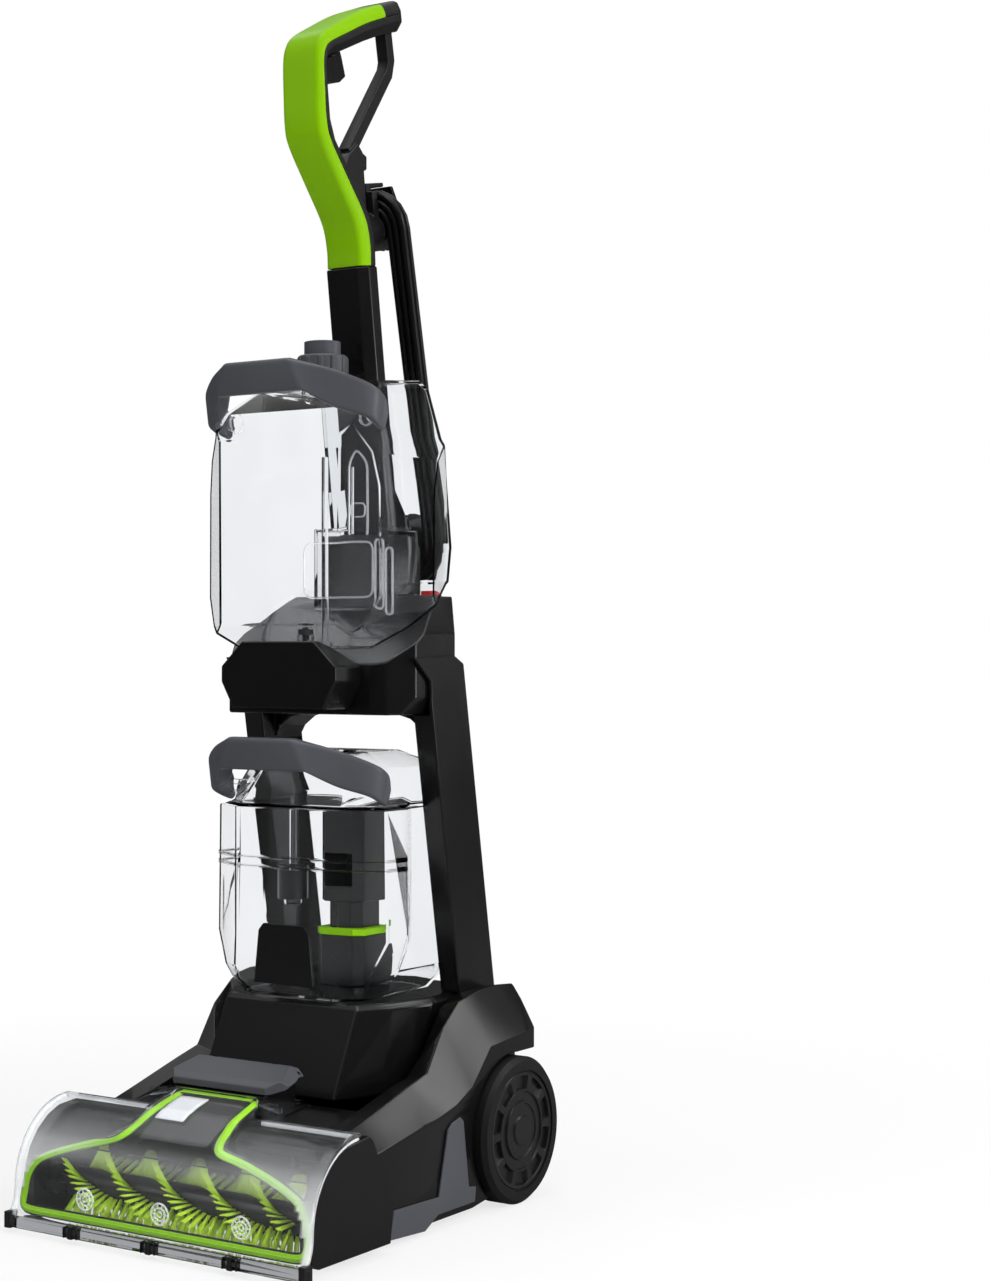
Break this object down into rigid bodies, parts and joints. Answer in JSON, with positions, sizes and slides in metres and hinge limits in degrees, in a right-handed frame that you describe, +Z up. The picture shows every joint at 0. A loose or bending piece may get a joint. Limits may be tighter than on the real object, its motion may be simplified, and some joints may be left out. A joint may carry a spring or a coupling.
{
  "type": "carpet_cleaner",
  "caption": "Upright carpet cleaner with a clear front nozzle, lime handle front, two lift-off tanks and a wound mains lead, on two rear wheels.",
  "frame": {"origin": "middle of the foot's length and width, on the floor", "axes": "+Z up, -Y towards the front nozzle, +X to the right seen from the front"},
  "size_m": [0.316, 0.416, 1.102],
  "materials": {
    "black_plastic": "fine moulded satin",
    "dark_plastic": "fine moulded satin",
    "grey_plastic": "satin",
    "lime_plastic": "smooth semi-gloss",
    "red_plastic": "smooth gloss",
    "clear_plastic": "clear moulded plastic",
    "smoke_plastic": "smoky clear moulded plastic",
    "lime_bristle": "nylon bristle",
    "rubber": "smooth",
    "steel": "plain",
    "motor_can": "plain",
    "soft_tube": "translucent soft tube",
    "lead_jacket": "smooth cable jacket"
  },
  "bodies": {
    "foot": {"base_shell": "black_plastic", "side_cheeks": "black_plastic", "side_skirts": "grey_plastic", "wheel_axles": "steel", "hinge_bushes": "dark_plastic", "brush_hood": "smoke_plastic", "brush_motor": "motor_can", "drive_belt": "rubber", "brush_bearings": "dark_plastic", "spray_bar": "dark_plastic", "foot_duct": "black_plastic", "glide_pads": "grey_plastic", "base_screws": "steel"},
    "window": {"nozzle_window": "clear_plastic", "window_gasket": "lime_plastic", "nozzle_lip": "smoke_plastic"},
    "brush": {"brush_core": "dark_plastic", "brush_bristles": "lime_bristle", "brush_pulley": "black_plastic"},
    "brush_motor_shaft": {"motor_pulley": "steel"},
    "wheel_left": {"tyre_left": "rubber", "rim_left": "dark_plastic"},
    "wheel_right": {"tyre_right": "rubber", "rim_right": "dark_plastic"},
    "door": {"hose_door": "grey_plastic"},
    "upright": {"motor_box": "black_plastic", "motor_cover": "black_plastic", "pillars": "black_plastic", "carry_housing": "black_plastic", "carry_handle": "black_plastic", "tube": "black_plastic", "handle_front": "lime_plastic", "handle_rear": "dark_plastic", "lower_cord_hook": "black_plastic", "vacuum_motor": "motor_can", "water_pump": "dark_plastic", "suction_riser": "dark_plastic", "solution_tube": "soft_tube", "box_screws": "steel", "cord_winding": "lead_jacket", "cord_lead": "lead_jacket", "cord_plug": "lead_jacket", "strain_relief": "lead_jacket"},
    "fan": {"fan": "steel"},
    "trigger": {"trigger": "black_plastic"},
    "switch": {"power_switch": "red_plastic"},
    "cord_hook": {"upper_cord_hook": "black_plastic"},
    "upper_tank": {"clean_tank": "clear_plastic", "pickup_tube": "dark_plastic"},
    "cap": {"clean_tank_cap": "grey_plastic"},
    "upper_bail": {"clean_tank_bail": "grey_plastic"},
    "valve": {"valve_plunger": "dark_plastic"},
    "lower_tank": {"dirty_tank": "clear_plastic", "dirty_tank_lid": "clear_plastic", "separator": "dark_plastic", "separator_ring": "lime_plastic", "badge_plate": "black_plastic"},
    "float": {"tank_float": "dark_plastic"},
    "lower_bail": {"dirty_tank_bail": "grey_plastic"}
  },
  "joints": [
    {"name": "recline", "type": "hinge", "parent": "foot", "child": "upright", "pos_m": [0, 0.142, 0.066], "axis": [-1, 0, 0], "range_deg": [0, 55]},
    {"name": "left_wheel_spin", "type": "hinge", "parent": "foot", "child": "wheel_left", "pos_m": [-0.137, 0.142, 0.066], "axis": [1, 0, 0], "continuous": true},
    {"name": "right_wheel_spin", "type": "hinge", "parent": "foot", "child": "wheel_right", "pos_m": [0.137, 0.142, 0.066], "axis": [1, 0, 0], "continuous": true},
    {"name": "brush_spin", "type": "hinge", "parent": "foot", "child": "brush", "pos_m": [0, -0.151, 0.038], "axis": [1, 0, 0], "continuous": true},
    {"name": "brush_motor_spin", "type": "hinge", "parent": "foot", "child": "brush_motor_shaft", "pos_m": [0.1, -0.078, 0.052], "axis": [1, 0, 0], "continuous": true},
    {"name": "window_release", "type": "slide", "parent": "foot", "child": "window", "axis": [0, -0.7659, 0.6429], "range_m": [0, 0.05]},
    {"name": "door_hinge", "type": "hinge", "parent": "foot", "child": "door", "pos_m": [0, -0.071, 0.138], "axis": [-1, 0, 0], "range_deg": [0, 115]},
    {"name": "fan_spin", "type": "hinge", "parent": "upright", "child": "fan", "pos_m": [0, 0.126, 0.1], "axis": [0, 0, 1], "continuous": true},
    {"name": "trigger_pull", "type": "hinge", "parent": "upright", "child": "trigger", "pos_m": [0, 0.038, 1.036], "axis": [1, 0, 0], "range_deg": [0, 8], "stiffness_Nm_per_rad": 1.5},
    {"name": "switch_rock", "type": "hinge", "parent": "upright", "child": "switch", "pos_m": [0.05, 0.146, 0.545], "axis": [1, 0, 0], "range_deg": [0, 10]},
    {"name": "hook_turn", "type": "hinge", "parent": "upright", "child": "cord_hook", "pos_m": [0, 0.1164, 0.886], "axis": [0, 0.9833, 0.1822], "range_deg": [0, 180]},
    {"name": "upper_tank_lift", "type": "slide", "parent": "upright", "child": "upper_tank", "axis": [0, -0.5, 0.866], "range_m": [0, 0.2]},
    {"name": "cap_turn", "type": "hinge", "parent": "upper_tank", "child": "cap", "pos_m": [0, 0.042, 0.76], "axis": [0, 0, 1], "range_deg": [0, 90]},
    {"name": "upper_bail_swing", "type": "hinge", "parent": "upper_tank", "child": "upper_bail", "pos_m": [0, 0.007, 0.703], "axis": [-1, 0, 0], "range_deg": [0, 35]},
    {"name": "valve_lift", "type": "slide", "parent": "upper_tank", "child": "valve", "axis": [0, 0, 1], "range_m": [0, 0.004], "stiffness_N_per_m": 180},
    {"name": "lower_tank_lift", "type": "slide", "parent": "upright", "child": "lower_tank", "axis": [0, -0.9903, 0.139], "range_m": [0, 0.22]},
    {"name": "float_rise", "type": "slide", "parent": "lower_tank", "child": "float", "axis": [0, 0, 1], "range_m": [0, 0.02]},
    {"name": "lower_bail_swing", "type": "hinge", "parent": "lower_tank", "child": "lower_bail", "pos_m": [0, 0.0115, 0.375], "axis": [-1, 0, 0], "range_deg": [-12, 12]}
  ],
  "couplings": [
    {"joint": "brush_motor_spin", "follows": "brush_spin", "ratio": 2}
  ]
}
